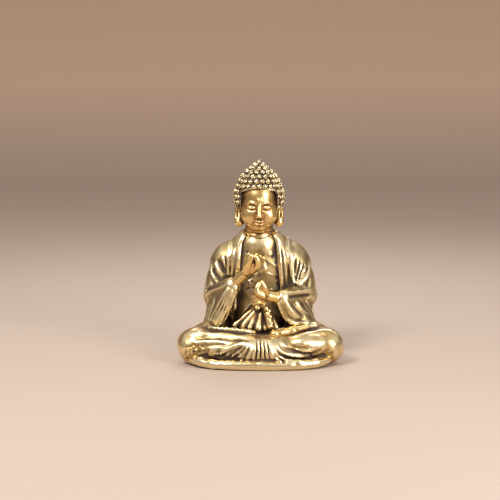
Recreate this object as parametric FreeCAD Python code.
"""Seated buddha statue in cast brass, 42 mm high, built from separate hollow castings.

Frame: millimetres, +Z up, the figure faces -Y, its own right hand is on the -X side.
The origin is the centre of the flat underside, so Z = 0 is the surface that the statue stands on.
"""

import FreeCAD, Part

import math
import os

from FreeCAD import Vector

# ---- driving dimensions, mm ----
HEIGHT = 42.0
KNEE_SPAN = 34.2
FRONT_Y = -11.0
BACK_Y = 11.0
WALL = 1.7
FIT = 0.04

# ---- lap: crossed legs under the robe ----
KNEE_R = 4.0
KNEE = Vector(KNEE_SPAN / 2 - KNEE_R, -2.6, 3.75)
HIP_R = 4.7
HIP = Vector(6.0, BACK_Y - HIP_R, 4.5)
SHIN_R = 3.45
SHIN = Vector(3.0, FRONT_Y + SHIN_R, 3.1)
LAP_FILL = (11.5, 7.0, 6.6)
PLATE_T = 0.8
PLATE_HALF = (11.6, 5.9)
PLATE_LEDGE = 0.9

# ---- torso: (height, half width, half depth, centre Y) of each oval section ----
TORSO = (
    (6.2, 6.9, 5.2, 4.0),
    (11.0, 6.8, 5.0, 3.7),
    (16.0, 7.4, 4.9, 3.4),
    (20.5, 8.5, 4.5, 3.3),
    (23.3, 7.7, 3.9, 3.1),
    (25.2, 5.0, 3.2, 2.9),
    (26.6, 3.5, 2.8, 2.7),
)
BAND_T = 0.55
# (X, height) corners of one lapel as seen from the front
BAND_OUTLINE = (
    (3.0, 27.6),
    (5.4, 25.0),
    (5.6, 17.0),
    (5.0, 11.5),
    (3.4, 11.5),
    (3.8, 17.0),
    (3.2, 23.4),
    (2.2, 27.6),
)
BAND_BACK_Y = 3.0
NAPE_BLOCK = ((-6, BAND_BACK_Y - 0.5, 24.6), (6, 12, 25.9))
SPIGOT_HALF = (4.6, 3.2)
SPIGOT_FOOT = 4.0

# ---- arms, on the +X side; the -X side mirrors the shoulder and elbow ----
SHOULDER = Vector(7.5, 3.2, 20.4)
SHOULDER_R = 3.4
ELBOW = Vector(8.7, 1.9, 13.2)
ELBOW_R = 2.9
CUFF_R = 1.95
RIGHT_CUFF = Vector(-5.7, -3.5, 16.4)
LEFT_CUFF = Vector(4.9, -4.0, 13.4)
RIGHT_WRIST = Vector(-4.3, -4.9, 18.2)
LEFT_WRIST = Vector(2.7, -5.6, 14.6)
WRIST_R = 1.0
FINGER_R = 0.46
# (share of the way from elbow to cuff, height, half length, half width) of the hanging cloth
DRAPE = (
    (0.5, 6.6, 4.9, 2.5),
    (0.55, 10.0, 4.4, 2.3),
    (0.6, 14.2, 3.2, 1.7),
)

# ---- head ----
HEAD_Y = 1.7
EAR_Z = 32.6
HAIR_FRONT_Z = 37.0
TEMPLE_X = 3.9
TEMPLE_Z = 35.2
CHEEK_TOP_Z = 33.0
TENON_R = 1.5
TENON_DEPTH = 3.2
CURL_R = 0.52
CURL_PITCH = 1.12
SLOPE_STEP = 0.25
CURL_FOOT_ANGLE = -12
CURL_RISE = CURL_R * math.sin(math.radians(-CURL_FOOT_ANGLE)) + 0.04
CROWN_Z = HEIGHT - CURL_R - CURL_RISE
URNA_Z = 34.9
URNA_R = 0.42
URNA_PEG_R = 0.2
# (height, half width, half depth, centre Y) of each oval section, as for the torso
SKULL = (
    (26.6, 2.9, 2.95, 2.5),
    (27.9, 2.75, 2.8, 2.3),
    (28.9, 3.1, 3.5, 1.2),
    (30.6, 3.6, 4.4, 0.9),
    (32.6, 4.0, 4.75, 1.2),
    (34.8, 4.3, 4.8, 1.5),
    (36.9, 4.1, 4.4, 1.65),
    (38.6, 3.1, 3.3, 1.7),
    (39.5, 2.0, 2.1, 1.7),
)
HAIR = (
    (29.8, 3.4, 3.5, 2.8),
    (31.6, 4.6, 4.8, 2.0),
    (33.6, 4.95, 5.3, 1.7),
    (35.3, 4.95, 5.3, 1.7),
    (36.9, 4.65, 4.95, 1.7),
    (38.3, 3.95, 4.15, 1.7),
    (39.8, 2.75, 2.9, 1.7),
    (40.9, 1.5, 1.6, 1.7),
    (CROWN_Z, 0.6, 0.65, 1.7),
)
FACE_Y = -3.4

DOWEL_R = 0.6


def mirrored(point):
    """The same point on the figure's other side."""
    return Vector(-point.x, point.y, point.z)


def capsule(a, b, ra, rb):
    """A tapered bar with a ball at each end, as one revolved solid from a to b."""
    axis = b - a
    length = axis.Length
    lean = math.asin((ra - rb) / length)
    side = Vector(math.cos(lean), 0, math.sin(lean))
    low = side * ra
    high = Vector(0, 0, length) + side * rb
    middle_low = Vector(math.cos((lean - math.pi / 2) / 2), 0, math.sin((lean - math.pi / 2) / 2)) * ra
    turn = (lean + math.pi / 2) / 2
    middle_high = Vector(0, 0, length) + Vector(math.cos(turn), 0, math.sin(turn)) * rb
    foot, tip = Vector(0, 0, -ra), Vector(0, 0, length + rb)
    outline = Part.Wire(
        [
            Part.Arc(foot, middle_low, low).toShape(),
            Part.LineSegment(low, high).toShape(),
            Part.Arc(high, middle_high, tip).toShape(),
            Part.LineSegment(tip, foot).toShape(),
        ]
    )
    solid = Part.Face(outline).revolve(Vector(), Vector(0, 0, 1), 360)
    turn_to = FreeCAD.Rotation(Vector(0, 0, 1), axis)
    solid.Placement = FreeCAD.Placement(a, turn_to)
    return solid


def oval(half_x, half_y, centre_y, z, centre_x=0.0, turn=0.0):
    """A closed oval wire, level at height z, turned by turn degrees about its centre."""
    centre = Vector(centre_x, centre_y, z)
    edge = Part.Ellipse(centre, max(half_x, half_y), min(half_x, half_y)).toShape()
    quarter = 90 if half_y > half_x else 0
    edge.rotate(centre, Vector(0, 0, 1), turn + quarter)
    return Part.Wire([edge])


def oval_bar(half_x, half_y, centre_y, low, high):
    """An upright bar of oval section."""
    return Part.Face(oval(half_x, half_y, centre_y, low)).extrude(Vector(0, 0, high - low))


def lofted(sections, grow=0.0, straight=False):
    """A solid through oval sections, grown outwards by grow, smooth or straight between them."""
    wires = [oval(half_x + grow, half_y + grow, y, z) for z, half_x, half_y, y in sections]
    return Part.makeLoft(wires, True, straight)


def block(low, high):
    """A box between two corners."""
    return Part.makeBox(high[0] - low[0], high[1] - low[1], high[2] - low[2], Vector(*low))


def fused(*shapes):
    """One solid from several that touch or overlap."""
    return shapes[0].multiFuse(list(shapes[1:])).removeSplitter()


def biggest(shape):
    """The largest solid of a shape, which drops slivers left by a cut."""
    return max(shape.Solids, key=lambda s: s.Volume)


# ---- lap ----
def legs(inset):
    """Crossed legs under the robe, drawn in by inset on every side."""
    parts = []
    for side in (-1, 1):
        knee = Vector(side * KNEE.x, KNEE.y, KNEE.z)
        hip = Vector(side * HIP.x, HIP.y, HIP.z)
        shin = Vector(side * SHIN.x, SHIN.y, SHIN.z)
        parts.append(capsule(hip, knee, HIP_R - inset, KNEE_R - inset))
        parts.append(capsule(knee, shin, KNEE_R - inset, SHIN_R - inset))
    parts.append(capsule(mirrored(HIP), HIP, HIP_R - inset, HIP_R - inset - 0.01))
    parts.append(capsule(mirrored(SHIN), SHIN, SHIN_R - inset, SHIN_R - inset - 0.01))
    fill_x, fill_y, fill_top = LAP_FILL
    parts.append(oval_bar(fill_x - inset, fill_y - inset, 0, 0, fill_top - inset))
    return fused(*parts)


def lap_casting(outer):
    """The hollow lap with a ledge for the base plate and a seat for the torso's spigot."""
    floor = block((-40, -40, -20), (40, 40, 0))
    body = outer.cut(floor)
    hollow_x, hollow_y = PLATE_HALF[0] - PLATE_LEDGE, PLATE_HALF[1] - PLATE_LEDGE
    hollow = legs(WALL).common(oval_bar(hollow_x, hollow_y, 0, -1, HEIGHT))
    recess = oval_bar(PLATE_HALF[0] + FIT, PLATE_HALF[1] + FIT, 0, -1, PLATE_T)
    seat = oval_bar(SPIGOT_HALF[0] + FIT, SPIGOT_HALF[1] + FIT, TORSO[0][3], SPIGOT_FOOT - 1, HEIGHT)
    return biggest(body.cut([hollow, recess, seat]))


def base_plate():
    """The flat plate soldered into the underside."""
    return oval_bar(PLATE_HALF[0], PLATE_HALF[1], 0, 0, PLATE_T)


# ---- torso ----
def torso_form(grow):
    """The robed trunk as a smooth loft, grown outwards by grow."""
    return lofted(TORSO, grow)


def torso_casting(lap):
    """The hollow trunk with a spigot below and a socket for the neck above."""
    foot_y = TORSO[0][3]
    spigot = oval_bar(SPIGOT_HALF[0], SPIGOT_HALF[1], foot_y, SPIGOT_FOOT, TORSO[0][0] + 1)
    body = fused(torso_form(0), spigot)
    hollow = capsule(Vector(0, foot_y, SPIGOT_FOOT - 3), Vector(0, TORSO[3][3], 19.5), 2.9, 2.7)
    socket = Part.makeCylinder(TENON_R + FIT, 9, Vector(0, TORSO[-1][3], TORSO[-1][0] - TENON_DEPTH))
    dowels = [shoulder_dowel(side, FIT) for side in (-1, 1)]
    return biggest(body.cut([hollow, socket, lap, *dowels]))


def shoulder_dowel(side, grow):
    """The short pin that locates a sleeve on the trunk."""
    start = Vector(side * 5.6, SHOULDER.y, SHOULDER.z - 1.2)
    return Part.makeCylinder(DOWEL_R + grow, 3.6 + grow, start, Vector(side, 0, 0))


def collar_band():
    """The robe's folded edge: round the nape, over both shoulders and down the chest."""
    skin = torso_form(BAND_T).cut(torso_form(0))
    parts = [block(*NAPE_BLOCK)]
    for hand in (-1, 1):
        corners = [Vector(hand * x, FRONT_Y, z) for x, z in BAND_OUTLINE]
        outline = Part.makePolygon([*corners, corners[0]])
        parts.append(Part.Face(outline).extrude(Vector(0, BAND_BACK_Y - FRONT_Y, 0)))
    return biggest(skin.common(fused(*parts)))


# ---- sleeves and hands ----
def drape(side, cuff):
    """The cloth that hangs from the forearm down to the lap."""
    elbow = Vector(side * ELBOW.x, ELBOW.y, ELBOW.z)
    along = cuff - elbow
    turn = math.degrees(math.atan2(along.y, along.x))
    wires = []
    for share, z, half_long, half_short in DRAPE:
        middle = elbow + along * share
        wires.append(oval(half_long, half_short, middle.y, z, middle.x, turn))
    return Part.makeLoft(wires, True, False)


def sleeve(side, cuff, solids_in_the_way):
    """One arm's sleeve: upper arm, forearm, and the cloth that hangs from it to the lap."""
    shoulder = Vector(side * SHOULDER.x, SHOULDER.y, SHOULDER.z)
    elbow = Vector(side * ELBOW.x, ELBOW.y, ELBOW.z)
    parts = [
        capsule(shoulder, elbow, SHOULDER_R, ELBOW_R),
        capsule(elbow, cuff, ELBOW_R, CUFF_R),
        drape(side, cuff),
    ]
    return biggest(fused(*parts).cut([*solids_in_the_way, shoulder_dowel(side, FIT)]))


def forearm(side, cuff, wrist, grow):
    """The wrist and the part of the forearm held inside the sleeve."""
    elbow = Vector(side * ELBOW.x, ELBOW.y, ELBOW.z)
    inside = cuff + (elbow - cuff) * 0.35
    return capsule(inside, wrist, 1.25 + grow, WRIST_R + grow)


def finger(points):
    """A finger as a chain of bars through its joints."""
    return [capsule(a, b, FINGER_R, FINGER_R - 0.02) for a, b in zip(points, points[1:])]


def right_hand():
    """The raised hand, palm forward, with thumb and forefinger closed in a ring."""
    palm = capsule(RIGHT_WRIST, Vector(-2.7, -5.3, 20.1), WRIST_R, 1.15)
    parts = [forearm(-1, RIGHT_CUFF, RIGHT_WRIST, 0), palm]
    for i in range(3):
        root = Vector(-3.2 + 0.62 * i, -5.0 + 0.25 * i, 20.6)
        parts += finger([root, root + Vector(0.35, 0.1, 1.5), root + Vector(0.8, -0.2, 2.7 - 0.2 * i)])
    knuckle = Vector(-1.9, -5.9, 20.6)
    parts += finger([knuckle, Vector(-1.3, -6.5, 21.9), Vector(-0.75, -6.9, 20.9)])
    parts += finger([Vector(-3.0, -5.9, 19.4), Vector(-1.7, -6.9, 19.6), Vector(-0.75, -6.9, 20.9)])
    return fused(*parts)


def left_hand():
    """The lower hand, turned inwards, with its fingers curled towards the other hand."""
    palm = capsule(LEFT_WRIST, Vector(0.7, -6.2, 16.2), WRIST_R, 1.15)
    parts = [forearm(1, LEFT_CUFF, LEFT_WRIST, 0), palm]
    for i in range(4):
        root = Vector(0.9 - 0.2 * i, -6.9 + 0.35 * i, 17.0 - 0.72 * i)
        parts += finger([root, root + Vector(-1.3, -0.4, 0.1), root + Vector(-2.0, 0.5, -0.2)])
    parts += finger([Vector(0.9, -6.9, 16.6), Vector(0.6, -7.1, 17.9), Vector(0.1, -6.7, 18.9)])
    return fused(*parts)


# ---- head ----
def skull():
    """The head under the hair and the neck, with the tenon that plugs into the torso."""
    neck_foot, _, _, neck_y = SKULL[0]
    tenon_foot = Vector(0, neck_y, neck_foot - TENON_DEPTH + 0.1)
    tenon = Part.makeCylinder(TENON_R, TENON_DEPTH, tenon_foot)
    return fused(lofted(SKULL), tenon)


def head(whole):
    """The skull with nose, closed eyes and mouth in low relief and a hole for the urna's peg."""
    nose = capsule(Vector(0, FACE_Y + 0.4, 33.4), Vector(0, FACE_Y - 0.1, 31.9), 0.35, 0.6)
    eyes = [Part.makeSphere(0.85, Vector(side * 1.6, FACE_Y + 0.85, 33.1)) for side in (-1, 1)]
    mouth = capsule(Vector(-0.8, FACE_Y + 0.5, 30.4), Vector(0.8, FACE_Y + 0.5, 30.4), 0.5, 0.499)
    hole = Part.makeCylinder(URNA_PEG_R + FIT, 1.6, Vector(0, FACE_Y + 1.4, URNA_Z), Vector(0, -1, 0))
    return biggest(fused(whole, nose, *eyes, mouth).cut(hole))


def urna():
    """The small bead between the brows, on a peg."""
    bead = Part.makeSphere(URNA_R, Vector(0, FACE_Y - URNA_R * 0.6, URNA_Z))
    peg = Part.makeCylinder(URNA_PEG_R, 1.2, Vector(0, FACE_Y + 0.9, URNA_Z), Vector(0, -1, 0))
    return fused(bead, peg)


def hairline():
    """The space kept clear of hair: the face, the cheeks and the throat."""
    outline = [(-9, 20), (-9, CHEEK_TOP_Z), (-TEMPLE_X, CHEEK_TOP_Z), (-TEMPLE_X, TEMPLE_Z)]
    right = [Vector(x, FRONT_Y, z) for x, z in outline]
    left = [mirrored(v) for v in reversed(right)]
    edges = [Part.Arc(right[-1], Vector(0, FRONT_Y, HAIR_FRONT_Z), left[0]).toShape()]
    for chain in (right, left, [left[-1], right[0]]):
        edges += [Part.LineSegment(a, b).toShape() for a, b in zip(chain, chain[1:])]
    face = Part.Face(Part.Wire(Part.__sortEdges__(edges)))
    return face.extrude(Vector(0, HEAD_Y + 1.0 - FRONT_Y, 0))


def hair_cap(whole, ears):
    """The shell of hair that covers the skull down to the nape."""
    return biggest(lofted(HAIR, straight=True).cut([whole, hairline(), *ears]))


def hair_section(z):
    """Half width, half depth and centre Y of the hair at a height, straight between its sections."""
    for (z0, *low), (z1, *high) in zip(HAIR, HAIR[1:]):
        if z0 <= z <= z1:
            share = (z - z0) / (z1 - z0)
            return [a + (b - a) * share for a, b in zip(low, high)]
    return list(HAIR[-1][1:])


def has_hair(x, y, z):
    """True where a curl sits on hair and clear of the face and ears."""
    if y > HEAD_Y + 1.2:
        return True
    return z > HAIR_FRONT_Z - 0.05 or (z > CHEEK_TOP_Z + 0.6 and abs(x) > TEMPLE_X + 0.4)


def hair_reach(out, z):
    """How far the hair stands from the middle at a height, in the level direction out."""
    half_x, half_y, centre_y = hair_section(z)
    return centre_y * out.y + math.hypot(half_x * out.x, half_y * out.y)


def curl(turn, z):
    """One curl on the hair: its foot and the direction that it points in."""
    half_x, half_y, centre_y = hair_section(z)
    foot = Vector(half_x * math.sin(turn), centre_y - half_y * math.cos(turn), z)
    out = Vector(math.sin(turn) / half_x, -math.cos(turn) / half_y, 0).normalize()
    slope = (hair_reach(out, z - SLOPE_STEP) - hair_reach(out, z + SLOPE_STEP)) / (2 * SLOPE_STEP)
    return foot, (out + Vector(0, 0, slope)).normalize()


def curl_feet():
    """The feet and directions of all curls, in rings that climb from the nape to the crown."""
    feet = [(Vector(0, HAIR[-1][3], CROWN_Z), Vector(0, 0, 1))]
    z, ring = HAIR[0][0] + 0.6, 0
    while z < CROWN_Z - CURL_R:
        half_x, half_y, _ = hair_section(z)
        count = int(math.pi * (half_x + half_y) / CURL_PITCH)
        ring_feet = [curl(2 * math.pi * (i + 0.5 * (ring % 2)) / count, z) for i in range(count)]
        feet += [(foot, out) for foot, out in ring_feet if has_hair(*foot)]
        steepness = ring_feet[0][1]
        z += CURL_PITCH * math.hypot(steepness.x, steepness.y)
        ring += 1
    return feet


def hair_curls():
    """The snail-shell curls, one small dome each."""
    domes = []
    for foot, out in curl_feet():
        domes.append(Part.makeSphere(CURL_R, foot + out * CURL_RISE, out, CURL_FOOT_ANGLE, 90, 360))
    return Part.Compound(domes)


def ear(side):
    """A long-lobed ear, flat against the side of the head."""
    top = Vector(side * 4.4, HEAD_Y - 0.1, EAR_Z + 0.6)
    middle = Vector(side * 4.3, HEAD_Y - 0.2, EAR_Z - 1.2)
    lobe = Vector(side * 4.15, HEAD_Y - 0.5, EAR_Z - 3.0)
    long_ear = fused(capsule(top, middle, 0.95, 0.7), capsule(middle, lobe, 0.7, 0.72))
    outer, inner = side * 4.95, side * 3.6
    slab = block((min(outer, inner), FRONT_Y, 20), (max(outer, inner), BACK_Y, HEIGHT))
    return long_ear.common(slab)


# ---- small pieces ----
def toes():
    """The toes of the upper foot, seen beside the middle of the lap."""
    return fused(
        capsule(Vector(2.3, -8.2, 7.0), Vector(4.6, -7.4, 7.3), 0.75, 0.9),
        capsule(Vector(2.6, -7.3, 7.2), Vector(4.6, -6.4, 7.3), 0.6, 0.8),
    )


def sash():
    """The knotted tie of the inner robe, with two ends that hang to the lap."""
    knot, crossing = Vector(0.7, -2.2, 13.0), Vector(1.1, -3.0, 11.6)
    return fused(
        capsule(knot, crossing, 1.3, 1.2),
        capsule(crossing, Vector(2.3, -5.0, 7.6), 1.1, 1.5),
        capsule(crossing, Vector(-1.3, -4.4, 7.4), 1.0, 1.4),
    )


def save(name, shape):
    """Writes one node's STEP file and says what it holds."""
    solids = shape.Solids
    whole = solids[0] if len(solids) == 1 else Part.Compound(solids)
    whole.exportStep(os.path.join("parts", name + ".step"))
    print(f"{name}: {len(solids)} solid(s), {whole.Volume:.1f} mm3, valid {whole.isValid()}")


def main():
    os.makedirs("parts", exist_ok=True)
    lap_form, trunk_form = legs(0), torso_form(0)
    lap = lap_casting(lap_form)
    trunk = torso_casting(lap)
    band = collar_band()
    way = [trunk_form, band, lap_form]
    right_sleeve = sleeve(-1, RIGHT_CUFF, [*way, forearm(-1, RIGHT_CUFF, RIGHT_WRIST, FIT)])
    left_sleeve = sleeve(1, LEFT_CUFF, [*way, forearm(1, LEFT_CUFF, LEFT_WRIST, FIT)])
    whole_head = skull()
    ears = {side: biggest(ear(side).cut(whole_head)) for side in (-1, 1)}
    face = biggest(head(whole_head).cut([trunk, band]))

    save("lap_casting", lap)
    save("base_plate", base_plate())
    save("torso_casting", trunk)
    save("collar_band", band)
    save("right_sleeve", right_sleeve)
    save("left_sleeve", left_sleeve)
    save("right_hand", right_hand())
    save("left_hand", left_hand())
    save("head", face)
    save("urna", biggest(urna().cut(face)))
    save("right_ear", ears[-1])
    save("left_ear", ears[1])
    save("hair_cap", hair_cap(whole_head, list(ears.values())))
    save("hair_curls", hair_curls())
    save("toes", biggest(toes().cut(lap)))
    save("sash", biggest(sash().cut([trunk_form, lap_form, left_sleeve])))
    save("shoulder_dowels", Part.Compound([shoulder_dowel(side, 0) for side in (-1, 1)]))


if __name__ == "__main__":
    main()
